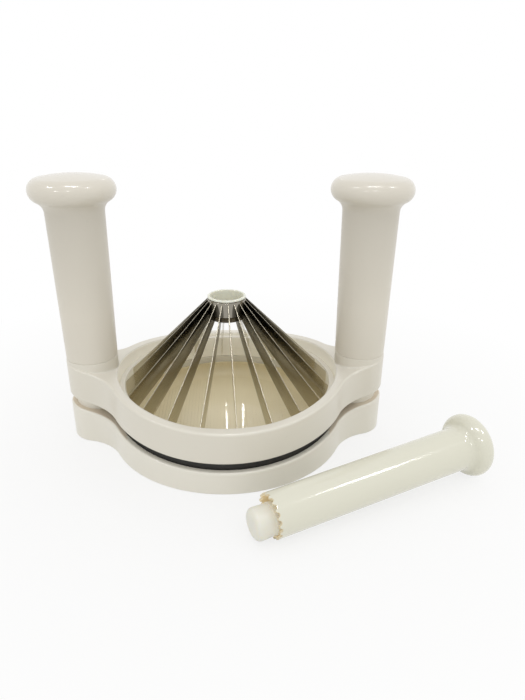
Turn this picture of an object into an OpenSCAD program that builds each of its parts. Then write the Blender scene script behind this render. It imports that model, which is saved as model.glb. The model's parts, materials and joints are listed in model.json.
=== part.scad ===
// Two-handled push-down onion cutter, with its hand corer lying in front of it.
// The cutter head slides on two guide posts that stand in the base and run up inside the handles.
// Origin: centre of the base's underside. +X towards the right handle, +Y to the back, +Z up. Millimetres.

/* [Rings] */
// Radius of the hole through the cutter frame
hole_r = 70; // [60:0.5:80]
// Wall between the hole and the outside of the rings
ring_wall = 6.2; // [5:0.1:9]
// Height of the base's rim at the front
base_h = 14.2; // [12:0.1:18]
// Thickness of the base's floor
floor_t = 3.5; // [3:0.1:5]
// Wall between the bowl and the bumper's groove
bowl_wall = 2; // [1.5:0.1:3]
// Height of the gap between the base and the cutter frame
parting_gap = 5.8; // [4:0.1:8]
// Height of the cutter frame's wall at the front
frame_h = 19.5; // [17:0.1:24]
// Radius of the wave that lifts the parting line towards the ears
parting_wave_r = 500; // [420:10:700]
// Radius of the wave that lifts the frame's top edge towards the ears
top_wave_r = 385; // [340:5:600]
// Width of an ear's ledge beside its boss
ear_margin = 1.4; // [0.8:0.1:4]
// Radius of the hollow curve between an ear and the ring
ear_fillet_r = 32; // [24:1:45]

/* [Handles] */
// Distance of a handle's axis outside the rings
handle_reach = 9.9; // [8:0.1:14]
// Radius of the boss under a handle
boss_r = 15.8; // [14:0.1:19]
// Height of the boss's top above the frame's top edge at the front
boss_h = 14.5; // [14:0.1:18]
// Length of a handle with its knob
handle_len = 111.3; // [106:0.1:125]
// Step from the boss in to the handle's foot
handle_step = 0.05; // [0:0.05:0.5]
// How much a handle widens from its foot to its neck
handle_flare = 1.05; // [0:0.05:2.5]
// Overhang of the knob past the neck
knob_overhang = 7.6; // [6.5:0.1:10]
// Radius of the knob's rounded edge
knob_edge_r = 7; // [5:0.1:8]
// Rise of the knob's crown above its rounded edge
knob_crown = 1.8; // [1:0.1:3]
// Radius of the hollow curve under the knob
neck_fillet_r = 7; // [5:0.5:10]
// Wall of a handle at its foot
handle_wall = 3.15; // [2.8:0.05:4]
// Length of the frame's spigot inside a handle
spigot_h = 10; // [9:0.5:14]

/* [Guides] */
// Radius of a guide post
post_r = 7; // [6:0.1:7.5]
// Wall of a guide bush
bush_wall = 2.2; // [1.6:0.1:2.4]
// Length of a guide bush below its flange
bush_len = 33.5; // [28:0.5:35]
// Height of a guide bush's flange
bush_flange_h = 1.5; // [1:0.1:2.5]
// How far the cutter head lifts
lift_travel = 74; // [60:1:78]
// Height of the plastic under a post's foot
post_sole = 6; // [5.5:0.1:8]
// Step from the boss in to the raised land around a post's socket
land_inset = 3.2; // [2.5:0.1:5]

/* [Blades] */
// Number of blades
blade_count = 20; // [16:1:22]
// Thickness of a blade
blade_t = 0.6; // [0.4:0.05:0.9]
// Turn of the first blade from the front
blade_phase = 4; // [0:0.5:18]
// Height of a blade at the ring
blade_foot_h = 14.8; // [13:0.1:16]
// Width of the ground bevel along a blade's cutting edge
bevel_w = 2.5; // [1:0.1:3]
// Thickness left at the cutting edge
edge_t = 0.1; // [0.05:0.01:0.2]
// Radial width of the blade ring
blade_ring_w = 3.7; // [3.4:0.1:4.5]
// Drop of the blade ring's top below the frame's top edge at the front
ledge_drop = 2.1; // [1:0.1:4]
// Thickness of the frame's flange under the blade ring
flange_t = 3; // [2.5:0.1:3.5]
// Height of the blade ring
blade_ring_h = 8.9; // [8:0.1:9.5]

/* [Hub] */
// Radius of the hub sleeve
hub_r = 12; // [11.5:0.1:14]
// Wall of the hub sleeve
hub_wall = 1.1; // [0.9:0.05:1.3]
// Height of the hub sleeve
hub_h = 9.6; // [8:0.1:12]
// Height of the collar's top above the base's underside
collar_z = 93; // [88:0.5:100]
// Height of the collar's lip
lip_h = 1.6; // [1.2:0.1:2.5]
// Wall of the collar liner
liner_wall = 0.85; // [0.7:0.05:1.2]

/* [Bumper and seat] */
// How far the rubber bumper ring reaches under the frame's wall
bumper_lap = 2.2; // [1:0.1:3]
// Radial width of the bumper ring
bumper_w = 3.6; // [2.5:0.1:4]
// Depth of the groove that holds the bumper ring
bumper_depth = 2; // [1.5:0.1:3]
// Thickness of the onion seat
seat_t = 4; // [3:0.1:6]
// Height of the seat's upstand above its top
seat_wall_h = 9.5; // [4:0.5:12]
// Thickness of the seat's upstand
seat_wall_t = 1.3; // [1:0.1:2]
// Radius of the dish in the seat
dish_r = 26; // [20:0.5:34]
// Depth of the dish in the seat
dish_depth = 1.6; // [0.8:0.1:1.8]

/* [Corer] */
// Radius of the corer's tube at its mouth
corer_r = 12; // [11.5:0.1:13]
// How much the tube's radius grows from its mouth to the knob
corer_flare = 0.5; // [0.1:0.1:0.8]
// Wall of the tube at its mouth
corer_wall = 1.4; // [1.3:0.1:2.1]
// Step of the tube's bore behind the guide web
corer_step = 0.8; // [0.6:0.1:1.2]
// Distance of the knob's widest place from the toothed mouth
cap_at = 130; // [120:0.1:136]
// Overhang of the knob past the tube's mouth
cap_overhang = 6.5; // [6.4:0.1:8]
// Radius of the knob's rounded edge
cap_edge_r = 6; // [4:0.1:6]
// Height of the knob's crown
cap_crown = 2.1; // [1.5:0.1:4]
// Radius of the hollow curve where the tube runs into the knob
cap_fillet_r = 5; // [3:0.5:6]
// Number of notches in the toothed mouth
notch_count = 18; // [12:2:20]
// Radius of a notch
notch_r = 1.4; // [1.1:0.1:1.7]
// Place of the mouth's centre to the right of the middle
corer_x = 19.6; // [15:0.1:30]
// Distance of the mouth's centre in front of the rings
corer_gap = 33.8; // [30:0.1:50]
// Turn of the corer's axis from +X
corer_turn = 22.3; // [15:0.1:24]

/* [Plunger] */
// Step from the plunger's flange in to its nose
nose_step = 0.3; // [0.3:0.1:1.5]
// Length of the nose in front of the mouth
nose_len = 10.3; // [8:0.1:16]
// Radius of the nose's rounded end
nose_round = 3; // [2:0.1:4]
// How much smaller the plunger's flange is than the bore
plunger_play = 2.1; // [0.8:0.1:2.2]
// Thickness of the flange
plunger_flange_t = 4; // [3:0.1:6]
// Radius of the plunger's rod
rod_r = 2.5; // [2.2:0.1:2.8]
// How far the plunger is pushed in
plunger_stroke = 35; // [25:1:50]
// Spare length of the spring when the plunger is pushed right in
spring_spare = 13.5; // [8:0.5:18]
// Thickness of the guide web
web_t = 3; // [2:0.1:4]
// Number of turns of the plunger's spring
spring_turns = 9; // [6:1:12]
// Wire diameter of the spring
spring_wire = 1; // [0.8:0.05:1.2]
// Clearance of the spring around the rod
spring_play = 2.2; // [1.5:0.1:2.4]

/* [Fits] */
// Radial clearance of a running or push fit
fit_gap = 0.05; // [0.02:0.01:0.1]
// Clearance on each side of a blade in its slot
slot_gap = 0.1; // [0.05:0.01:0.15]
// Clearance between pieces that come together
rest_gap = 0.3; // [0.2:0.05:0.4]

/* [Screws] */
// Shank radius of the post and stop screws
post_screw_r = 2; // [1.6:0.1:2.2]
// Shank radius of the small screws
small_screw_r = 1.2; // [1:0.05:1.3]
// Head height of the post and stop screws
post_head_h = 2.4; // [2:0.1:2.8]
// Head height of the small screws
small_head_h = 1.6; // [1.2:0.1:1.8]
// Length of the post and stop screws' shanks
post_screw_len = 16; // [12:0.5:20]
// Thickness of a stop washer
washer_t = 1.2; // [0.8:0.1:1.6]

/* [Hidden] */
$fn = 96;
wave_fn = 720;
// Overshoot of a cutting shape past the face it cuts
over = 1;
far = 400;

sides = [-1, 1];
ring_r = hole_r + ring_wall;
handle_x = ring_r + handle_reach;
ear_r = boss_r + ear_margin;
frame_z = base_h + parting_gap;
frame_top = frame_z + frame_h;
seam_z = frame_top + boss_h;
handle_top = seam_z + handle_len;
// The outer end of an ear stands just proud of its boss
ear_lip = 0.2;
ear_x = handle_x + boss_r + ear_lip - ear_r;
web_x = (pow(ring_r + ear_fillet_r, 2) - pow(ear_r + ear_fillet_r, 2) + pow(ear_x, 2)) / (2 * ear_x);
// The hollow arcs are a hair wider, so that they cross the rings instead of just touching them
web_clear = 0.05;
web_y = sqrt(pow(ring_r + ear_fillet_r, 2) - pow(web_x, 2));

// Bumper ring, bowl and seat
bumper_r = hole_r + bumper_lap;
groove_out_r = bumper_r + fit_gap;
groove_in_r = bumper_r - bumper_w - fit_gap;
bowl_r = groove_in_r - bowl_wall;
seat_r = bowl_r - rest_gap;
seat_top = floor_t + seat_t;
seat_in_r = seat_r - seat_wall_t;
dish_ball_r = (pow(dish_r, 2) + pow(dish_depth, 2)) / (2 * dish_depth);
seat_screw_count = 3;
seat_screw_inset = 15;
seat_screw_pcd_r = bowl_r - seat_screw_inset;
seat_skin = 1;
seat_screw_z = small_head_h + rest_gap;
seat_screw_len = floor_t - seat_screw_z + seat_t - seat_skin;
seat_screw_end = seat_screw_z + seat_screw_len;

// Handle radii
handle_foot_r = boss_r - handle_step;
handle_neck_r = handle_foot_r + handle_flare;
handle_bore_r = handle_foot_r - handle_wall;
knob_r = handle_neck_r + knob_overhang;

// Guide posts and bushes
head_ratio = 1.9;
washer_lap = 1.5;
bush_r = post_r + fit_gap + bush_wall;
bush_bore_r = post_r + fit_gap;
bush_seat_z = seam_z + spigot_h;
bush_flange_r = handle_bore_r - 2 * rest_gap;
bush_top = bush_seat_z + bush_flange_h;
foot_clear = 1;
bush_foot_z = bush_seat_z - bush_len;
bush_pocket_z = bush_foot_z - foot_clear;
post_top = bush_top + lift_travel + 2 * rest_gap;
post_head_r = head_ratio * post_screw_r;
stop_washer_r = bush_bore_r + washer_lap;
post_screw_z = post_head_h + rest_gap;
head_room = 2;
cavity_top = post_top + washer_t + post_head_h + head_room;
land_r = boss_r - land_inset;
land_top = frame_z - rest_gap;

// Handle
spigot_r = handle_bore_r - fit_gap;
knob_edge_x = knob_r - knob_edge_r;
knob_z = handle_top - knob_crown - knob_edge_r;
crown_r = (pow(knob_edge_x, 2) + pow(knob_crown, 2)) / (2 * knob_crown);
neck_x = handle_neck_r + neck_fillet_r;
neck_z = knob_z - sqrt(pow(neck_fillet_r + knob_edge_r, 2) - pow(neck_x - knob_edge_x, 2));
handle_screw_z = seam_z + spigot_h / 2;
small_head_r = head_ratio * small_screw_r;
head_sink = 0.2;
handle_head_y = handle_foot_r - head_sink;
handle_seat_y = handle_head_y - small_head_h;
shank_stop = 0.5;
handle_shank_y = bush_r + fit_gap + shank_stop;

// Blade ring and blades
ledge_z = frame_top - ledge_drop;
blade_ring_z = ledge_z - blade_ring_h;
flange_z = blade_ring_z - flange_t;
blade_ring_r = hole_r - rest_gap;
blade_ring_in = blade_ring_r - blade_ring_w;
flange_step = 0.5;
flange_in = blade_ring_in + flange_step;
slot_roof = 1.4;
slot_w = blade_t + 2 * slot_gap;
slot_wall = 1.2;
slot_end_r = blade_ring_r - slot_wall;
slot_top_z = ledge_z - slot_roof;
blade_out_r = blade_ring_in - rest_gap;
foot_drop = 0.6;
blade_foot_top = ledge_z - foot_drop;
blade_foot_z = blade_foot_top - blade_foot_h;
// The bowl's rim stays below the blades' feet
bowl_rim_z = blade_foot_z - 2 * rest_gap;
tab_end_r = slot_end_r - slot_gap;
tab_z = blade_ring_z + rest_gap;
tab_top = slot_top_z - slot_gap;
blade_step = 360 / blade_count;
blade_start = blade_phase - 90;
ring_screw_count = 4;
ring_screw_pcd_r = (blade_ring_in + blade_ring_r) / 2;
ring_screw_r = 0.9;
ring_head_r = 1.6;
ring_head_h = 1.5;
ring_screw_cover = 2;
ring_screw_len = flange_t + blade_ring_h - ring_screw_cover;
// Screws stand midway between blades, away from the ears
ring_screw_at = [for (i = [0 : ring_screw_count - 1])
    blade_start + (floor((i + 0.5) * blade_count / ring_screw_count) + 0.5) * blade_step];

// Hub
hub_top = collar_z - lip_h;
hub_z = hub_top - hub_h;
hub_bore_r = hub_r - hub_wall;
hub_slot_roof = 1;
hub_slot_top = hub_top - hub_slot_roof;
liner_r = hub_bore_r - fit_gap;
liner_bore_r = liner_r - liner_wall;
liner_barb_h = 1;
liner_z = hub_z - rest_gap - liner_barb_h;
barb_lap = 0.6;
liner_barb_r = hub_bore_r + barb_lap;
lip_inset = 0.1;
lip_r = hub_r - lip_inset;
blade_in_r = hub_bore_r + slot_gap;
blade_neck_r = hub_r + rest_gap;
blade_neck_top = hub_slot_top - slot_gap;
neck_lift = 0.2;
blade_neck_z = hub_z + neck_lift;
bevel_lead = 0.25;

// Corer: it rests on its knob and on the lowest teeth of its mouth
corer_y = ring_r + corer_gap;
cap_r = corer_r + cap_overhang;
cap_edge_x = cap_r - cap_edge_r;
cap_step = cap_edge_x - corer_r;
corer_tilt = asin(cap_edge_r / norm([cap_at, cap_step])) + atan2(cap_step, cap_at);
corer_z = corer_r * cos(corer_tilt) + rest_gap;
corer_bore_r = corer_r - corer_wall;
corer_back_r = corer_bore_r - corer_step;
socket_depth = 2;
corer_len = cap_at - socket_depth;
cap_lip = 0.15;
corer_end_r = corer_r + corer_flare;
cap_base_r = corer_end_r + fit_gap + cap_lip;
cap_neck_x = cap_base_r + cap_fillet_r;
cap_neck_t = cap_at - sqrt(pow(cap_edge_r + cap_fillet_r, 2) - pow(cap_neck_x - cap_edge_x, 2));
cap_end = cap_at + cap_edge_r + cap_crown;
cap_crown_r = (pow(cap_edge_x, 2) + pow(cap_crown, 2)) / (2 * cap_crown);
cavity_step = 1;
cap_cavity_r = corer_back_r - cavity_step;
cap_wall = 3;
cap_cavity_end = cap_end - cap_wall;
// The plunger lies on the bottom of the bore
plunger_r = corer_bore_r - plunger_play;
nose_r = plunger_r - nose_step;
plunger_drop = plunger_play - rest_gap;
flange_inset = 0.5;
flange_back = flange_inset + plunger_flange_t;
web_at = flange_back + plunger_stroke + spring_turns * spring_wire + spring_spare;
web_hole_r = rod_r + plunger_drop + rest_gap;
web_back = web_at + web_t;
rod_end = web_back + rest_gap;
plunger_washer_lap = 0.6;
plunger_washer_r = web_hole_r + plunger_drop + plunger_washer_lap;
plunger_screw_r = small_screw_r;
plunger_screw_len = 10;
nose_fillet = nose_step;
spring_r = rod_r + spring_play + spring_wire / 2;
spring_end_gap = 0.15;
spring_z0 = flange_back + spring_wire / 2 + spring_end_gap;
spring_z1 = web_at - spring_wire / 2 - spring_end_gap;
spring_rings = 8;
spring_sides = 6;
spring_n = spring_turns * spring_rings;
spring_path = [for (i = [0 : spring_n]) let (a = 360 * i / spring_rings)
    [spring_r * cos(a), spring_r * sin(a), spring_z0 + (spring_z1 - spring_z0) * i / spring_n]];
// Least gap between turns, measured on the path's own points
spring_gap = min([for (i = [0 : spring_n - spring_rings / 2])
    for (j = [i + spring_rings / 2 : spring_n]) norm(spring_path[i] - spring_path[j])]) - spring_wire;
echo(spring_gap = spring_gap);

blade_names = [for (i = [1 : blade_count]) str("blade_", i < 10 ? "0" : "", i)];

shell_white = [0.84, 0.82, 0.77];
seat_tan = [0.84, 0.78, 0.64];
ivory = [0.89, 0.88, 0.82];
nose_white = [0.9, 0.89, 0.86];
rubber_black = [0.07, 0.07, 0.07];
blade_steel = [0.62, 0.61, 0.58];
screw_steel = [0.55, 0.56, 0.58];
post_grey = [0.72, 0.73, 0.74];
bush_grey = [0.42, 0.42, 0.43];

// Everything above a wave that is lowest in the middle and rises towards the ears
module above_wave(low_z, wave_r) {
    translate([0, 0, low_z + wave_r])
        rotate([90, 0, 0])
            cylinder(r = wave_r, h = far, center = true, $fn = wave_fn);
}

module tube(out_r, in_r, h) {
    difference() {
        cylinder(r = out_r, h = h);
        translate([0, 0, -over]) cylinder(r = in_r, h = h + 2 * over);
    }
}

// Ring with two ears, blended by hollow arcs
module ring_outline() {
    circle(r = ring_r);
    for (s = sides) {
        translate([s * ear_x, 0]) circle(r = ear_r);
        difference() {
            polygon([[0, 0], [s * web_x, web_y], [s * ear_x, 0], [s * web_x, -web_y]]);
            for (t = sides) translate([s * web_x, t * web_y]) circle(r = ear_fillet_r + web_clear);
        }
    }
}

// Pan-head screw: head below z = 0, shank above it
module screw(shank_r, head_r, head_h, len) {
    translate([0, 0, -head_h]) cylinder(r = head_r, h = head_h);
    cylinder(r = shank_r, h = len);
}

module at_handles() {
    for (s = sides) translate([s * handle_x, 0, 0]) children();
}

module at_seat_screws() {
    for (i = [0 : seat_screw_count - 1])
        rotate([0, 0, 90 + i * 360 / seat_screw_count])
            translate([seat_screw_pcd_r, 0, 0]) children();
}

module at_ring_screws() {
    for (a = ring_screw_at)
        rotate([0, 0, a]) translate([ring_screw_pcd_r, 0, 0]) children();
}

module base_ring() {
    color(shell_white)
        difference() {
            union() {
                difference() {
                    linear_extrude(height = handle_top) ring_outline();
                    above_wave(base_h, parting_wave_r);
                }
                difference() {
                    at_handles() cylinder(r = land_r, h = handle_top);
                    above_wave(land_top, parting_wave_r);
                }
                cylinder(r = (groove_in_r + groove_out_r) / 2, h = bowl_rim_z);
            }
            translate([0, 0, floor_t]) cylinder(r = bowl_r, h = far);
            intersection() {
                translate([0, 0, floor_t]) tube(groove_out_r, groove_in_r, handle_top);
                above_wave(base_h - bumper_depth, parting_wave_r);
            }
            at_handles() {
                translate([0, 0, post_sole]) cylinder(r = post_r + fit_gap, h = far);
                translate([0, 0, bush_pocket_z]) cylinder(r = bush_r + rest_gap, h = far);
                translate([0, 0, -over]) cylinder(r = post_screw_r + fit_gap, h = far);
                translate([0, 0, -over]) cylinder(r = post_head_r + rest_gap, h = post_screw_z + over);
            }
            at_seat_screws() {
                translate([0, 0, -over]) cylinder(r = small_screw_r + fit_gap, h = far);
                translate([0, 0, -over]) cylinder(r = small_head_r + rest_gap, h = seat_screw_z + over);
            }
        }
}

module onion_seat() {
    color(seat_tan)
        difference() {
            translate([0, 0, floor_t]) cylinder(r = seat_r, h = seat_t + seat_wall_h);
            translate([0, 0, seat_top]) cylinder(r = seat_in_r, h = far);
            intersection() {
                translate([0, 0, seat_top - dish_depth + dish_ball_r]) sphere(r = dish_ball_r, $fn = wave_fn / 3);
                cylinder(r = dish_r + over, h = far);
            }
            at_seat_screws() cylinder(r = small_screw_r + fit_gap, h = seat_screw_end + rest_gap);
        }
}

module seat_screws() {
    color(screw_steel)
        at_seat_screws()
            translate([0, 0, seat_screw_z])
                screw(small_screw_r, small_head_r, small_head_h, seat_screw_len);
}

module bumper_ring() {
    color(rubber_black)
        difference() {
            intersection() {
                tube(bumper_r, bumper_r - bumper_w, handle_top);
                above_wave(base_h - bumper_depth + fit_gap, parting_wave_r);
            }
            above_wave(frame_z - rest_gap, parting_wave_r);
        }
}

module guide_post(s) {
    color(post_grey)
        translate([s * handle_x, 0, 0])
            difference() {
                translate([0, 0, post_sole]) cylinder(r = post_r, h = post_top - post_sole);
                cylinder(r = post_screw_r + fit_gap, h = post_screw_z + post_screw_len + over);
                translate([0, 0, post_top - post_screw_len - over])
                    cylinder(r = post_screw_r + fit_gap, h = post_screw_len + 2 * over);
            }
}

module post_screws() {
    color(screw_steel)
        at_handles()
            translate([0, 0, post_screw_z])
                screw(post_screw_r, post_head_r, post_head_h, post_screw_len);
}

module stop_washers() {
    color(screw_steel)
        at_handles()
            translate([0, 0, post_top]) tube(stop_washer_r, post_screw_r + fit_gap, washer_t);
}

module stop_screws() {
    color(screw_steel)
        at_handles()
            translate([0, 0, post_top + washer_t])
                mirror([0, 0, 1]) screw(post_screw_r, post_head_r, post_head_h, post_screw_len);
}

module cutter_frame() {
    color(shell_white)
        difference() {
            union() {
                intersection() {
                    difference() {
                        linear_extrude(height = handle_top) ring_outline();
                        above_wave(frame_top, top_wave_r);
                    }
                    above_wave(frame_z, parting_wave_r);
                }
                at_handles() {
                    translate([0, 0, frame_top]) cylinder(r = boss_r, h = seam_z - frame_top);
                    translate([0, 0, frame_top]) cylinder(r = spigot_r, h = bush_seat_z - frame_top);
                }
            }
            translate([0, 0, blade_ring_z]) cylinder(r = hole_r, h = far);
            cylinder(r = flange_in, h = far);
            cylinder(r = hole_r, h = flange_z);
            at_handles() {
                cylinder(r = bush_r + fit_gap, h = far);
                translate([0, 0, handle_screw_z])
                    rotate([-90, 0, 0]) cylinder(r = small_screw_r + fit_gap, h = far);
            }
            at_ring_screws() cylinder(r = ring_screw_r + fit_gap, h = far);
        }
}

module guide_bush(s) {
    color(bush_grey)
        translate([s * handle_x, 0, 0])
            difference() {
                union() {
                    translate([0, 0, bush_foot_z]) cylinder(r = bush_r, h = bush_len);
                    translate([0, 0, bush_seat_z]) cylinder(r = bush_flange_r, h = bush_flange_h);
                }
                cylinder(r = bush_bore_r, h = far);
            }
}

// Outer half-section of a handle: tapered shaft, hollow neck curve, rounded knob edge, low crown
module handle_section() {
    polygon([
        [0, seam_z], [handle_foot_r, seam_z], [handle_neck_r, neck_z],
        [handle_neck_r, knob_z], [0, knob_z]]);
    translate([0, knob_z]) square([knob_edge_x, knob_edge_r]);
    intersection() {
        translate([knob_edge_x, knob_z]) circle(r = knob_edge_r);
        translate([0, knob_z - knob_edge_r]) square([knob_r + over, 2 * knob_edge_r]);
    }
    intersection() {
        translate([0, handle_top - crown_r]) circle(r = crown_r);
        translate([0, knob_z]) square([knob_edge_x, handle_top]);
    }
    difference() {
        polygon([
            [handle_neck_r - over, neck_z], [neck_x, neck_z],
            [knob_edge_x, knob_z], [handle_neck_r - over, knob_z]]);
        translate([neck_x, neck_z]) circle(r = neck_fillet_r);
    }
}

module handle(s) {
    color(shell_white)
        translate([s * handle_x, 0, 0])
            difference() {
                rotate_extrude() handle_section();
                translate([0, 0, seam_z - over]) cylinder(r = handle_bore_r, h = cavity_top - seam_z + over);
                translate([0, 0, handle_screw_z])
                    rotate([-90, 0, 0]) {
                        cylinder(r = small_screw_r + fit_gap, h = far);
                        translate([0, 0, handle_seat_y]) cylinder(r = small_head_r + fit_gap, h = far);
                    }
            }
}

module handle_screws() {
    color(screw_steel)
        at_handles()
            translate([0, handle_seat_y, handle_screw_z])
                rotate([90, 0, 0])
                    screw(small_screw_r, small_head_r, small_head_h, handle_seat_y - handle_shank_y);
}

module blade_ring() {
    color(shell_white)
        difference() {
            translate([0, 0, blade_ring_z]) tube(blade_ring_r, blade_ring_in, blade_ring_h);
            for (i = [0 : blade_count - 1])
                rotate([0, 0, blade_start + i * blade_step])
                    translate([blade_ring_in - over, -slot_w / 2, 0])
                        cube([slot_end_r - blade_ring_in + over, slot_w, slot_top_z]);
            at_ring_screws() cylinder(r = ring_screw_r + fit_gap, h = flange_z + ring_screw_len + rest_gap);
        }
}

module ring_screws() {
    color(screw_steel)
        at_ring_screws()
            translate([0, 0, flange_z]) screw(ring_screw_r, ring_head_r, ring_head_h, ring_screw_len);
}

module hub_sleeve() {
    color(blade_steel)
        difference() {
            translate([0, 0, hub_z]) tube(hub_r, hub_bore_r, hub_h);
            for (i = [0 : blade_count - 1])
                rotate([0, 0, blade_start + i * blade_step])
                    translate([hub_bore_r - over, -slot_w / 2, 0])
                        cube([hub_wall + 2 * over, slot_w, hub_slot_top]);
        }
}

module collar_liner() {
    color(nose_white)
        difference() {
            union() {
                translate([0, 0, liner_z]) cylinder(r = liner_r, h = collar_z - liner_z);
                translate([0, 0, liner_z]) cylinder(r = liner_barb_r, h = liner_barb_h);
                translate([0, 0, hub_top]) cylinder(r = lip_r, h = lip_h);
            }
            cylinder(r = liner_bore_r, h = far);
        }
}

// Strip with a tab at each end; the lower edge is ground to a thin cutting edge on both faces
module blade(i) {
    edge = [blade_out_r - blade_neck_r, blade_foot_z - blade_neck_z];
    edge_turn = atan2(edge[1], edge[0]);
    bevel_turn = atan2((blade_t - edge_t) / 2, bevel_w);
    color(blade_steel)
        rotate([0, 0, blade_start + i * blade_step])
            rotate([90, 0, 0])
                difference() {
                    translate([0, 0, -blade_t / 2])
                        linear_extrude(height = blade_t)
                            polygon([
                                [blade_in_r, blade_neck_z], [blade_neck_r, blade_neck_z],
                                [blade_out_r, blade_foot_z], [blade_out_r, tab_z], [tab_end_r, tab_z],
                                [tab_end_r, tab_top], [blade_out_r, tab_top], [blade_out_r, blade_foot_top],
                                [blade_neck_r, blade_neck_top], [blade_in_r, blade_neck_top]]);
                    for (t = [0, 1])
                        mirror([0, 0, t])
                            translate([blade_neck_r, blade_neck_z, edge_t / 2])
                                rotate([0, 0, edge_turn])
                                    rotate([bevel_turn, 0, 0])
                                        translate([-bevel_lead, -over, 0])
                                            cube([norm(edge) + over, bevel_w + 2 * over, blade_t]);
                }
}

// Local z runs along the corer's axis from the mouth to the knob, local x points down
module at_corer() {
    translate([corer_x, -corer_y, corer_z]) rotate([0, 90 - corer_tilt, corer_turn]) children();
}

module at_plunger() {
    at_corer() translate([plunger_drop, 0, 0]) children();
}

module corer_tube() {
    color(ivory)
        at_corer()
            difference() {
                cylinder(r1 = corer_r, r2 = corer_end_r, h = corer_len);
                translate([0, 0, -over]) cylinder(r = corer_bore_r, h = web_back + over);
                cylinder(r = corer_back_r, h = corer_len + over);
                for (i = [0 : notch_count - 1])
                    rotate([0, 0, (i + 0.5) * 360 / notch_count])
                        rotate([90, 0, 0])
                            translate([0, 0, corer_bore_r - over])
                                cylinder(r = notch_r, h = corer_wall + 2 * over);
            }
}

// Outer half-section of the corer's knob: hollow neck curve, rounded edge, low crown
module cap_section() {
    translate([0, cap_neck_t]) square([cap_base_r, cap_at - cap_neck_t]);
    translate([0, cap_at]) square([cap_edge_x, cap_edge_r]);
    intersection() {
        translate([cap_edge_x, cap_at]) circle(r = cap_edge_r);
        translate([0, cap_at - cap_edge_r]) square([cap_r + over, 2 * cap_edge_r]);
    }
    intersection() {
        translate([0, cap_end - cap_crown_r]) circle(r = cap_crown_r);
        translate([0, cap_at]) square([cap_edge_x, cap_end]);
    }
    difference() {
        polygon([
            [cap_base_r - over, cap_neck_t], [cap_neck_x, cap_neck_t],
            [cap_edge_x, cap_at], [cap_base_r - over, cap_at]]);
        translate([cap_neck_x, cap_neck_t]) circle(r = cap_fillet_r);
    }
}

module corer_knob() {
    color(ivory)
        at_corer()
            difference() {
                rotate_extrude() cap_section();
                cylinder(r1 = corer_r + fit_gap, r2 = corer_end_r + fit_gap, h = corer_len);
                cylinder(r = cap_cavity_r, h = cap_cavity_end);
            }
}

module guide_web() {
    color(ivory)
        at_corer()
            translate([0, 0, web_at]) tube(corer_bore_r - fit_gap, web_hole_r, web_t);
}

// Half-section of the plunger: nose with a rounded end, small hollow curve, flange and rod
module plunger_section() {
    translate([0, -nose_len + nose_round]) square([nose_r, nose_len - nose_round + flange_back]);
    translate([0, -nose_len]) square([nose_r - nose_round, nose_round]);
    intersection() {
        translate([nose_r - nose_round, -nose_len + nose_round]) circle(r = nose_round);
        translate([0, -nose_len]) square([nose_r, nose_len]);
    }
    translate([0, flange_back - plunger_flange_t]) square([plunger_r, plunger_flange_t]);
    difference() {
        translate([0, flange_back - plunger_flange_t - nose_fillet]) square([plunger_r, nose_fillet]);
        translate([plunger_r, flange_back - plunger_flange_t - nose_fillet]) circle(r = nose_fillet);
    }
    translate([0, flange_back]) square([rod_r, rod_end - flange_back]);
}

module plunger() {
    color(nose_white)
        at_plunger()
            difference() {
                rotate_extrude() plunger_section();
                translate([0, 0, rod_end - plunger_screw_len])
                    cylinder(r = plunger_screw_r + fit_gap, h = plunger_screw_len + over);
            }
}

module plunger_washer() {
    color(screw_steel)
        at_plunger()
            translate([0, 0, rod_end]) tube(plunger_washer_r, plunger_screw_r + fit_gap, washer_t);
}

module plunger_screw() {
    color(screw_steel)
        at_plunger()
            translate([0, 0, rod_end + washer_t])
                mirror([0, 0, 1]) screw(plunger_screw_r, small_head_r, small_head_h, plunger_screw_len);
}

// One unbroken wire, swept along the helix
module plunger_spring() {
    ring = function (i) let (
            a = 360 * i / spring_rings,
            out = [cos(a), sin(a), 0])
        [for (k = [0 : spring_sides - 1]) let (b = 360 * k / spring_sides)
            spring_path[i] + spring_wire / 2 * (cos(b) * out + sin(b) * [0, 0, 1])];
    points = [for (i = [0 : spring_n]) each ring(i)];
    quads = [for (i = [0 : spring_n - 1]) for (k = [0 : spring_sides - 1]) let (
            a = i * spring_sides + k,
            b = i * spring_sides + (k + 1) % spring_sides)
        [a, b, b + spring_sides, a + spring_sides]];
    faces = [for (q = quads) each [[q[0], q[2], q[1]], [q[0], q[3], q[2]]]];
    last = spring_n * spring_sides;
    caps = [for (k = [1 : spring_sides - 2]) each [[0, k, k + 1], [last, last + k + 1, last + k]]];
    color(blade_steel) at_plunger() polyhedron(points = points, faces = concat(faces, caps));
}

base_ring();
onion_seat();
seat_screws();
bumper_ring();
guide_post(-1);  // guide_post_left
guide_post(1);  // guide_post_right
post_screws();
stop_washers();
stop_screws();
cutter_frame();
guide_bush(-1);  // guide_bush_left
guide_bush(1);  // guide_bush_right
handle(-1);  // handle_left
handle(1);  // handle_right
handle_screws();
blade_ring();
ring_screws();
hub_sleeve();
collar_liner();
for (i = [0 : blade_count - 1])
    blade(i);
corer_tube();
corer_knob();
guide_web();
plunger();
plunger_washer();
plunger_screw();
plunger_spring();
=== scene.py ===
# Push-down onion cutter: the looks of each piece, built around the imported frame.
import json
from math import asin, atan2, cos, hypot, pi, radians, sin, sqrt

import bmesh
import bpy
from mathutils import Matrix, Vector

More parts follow.
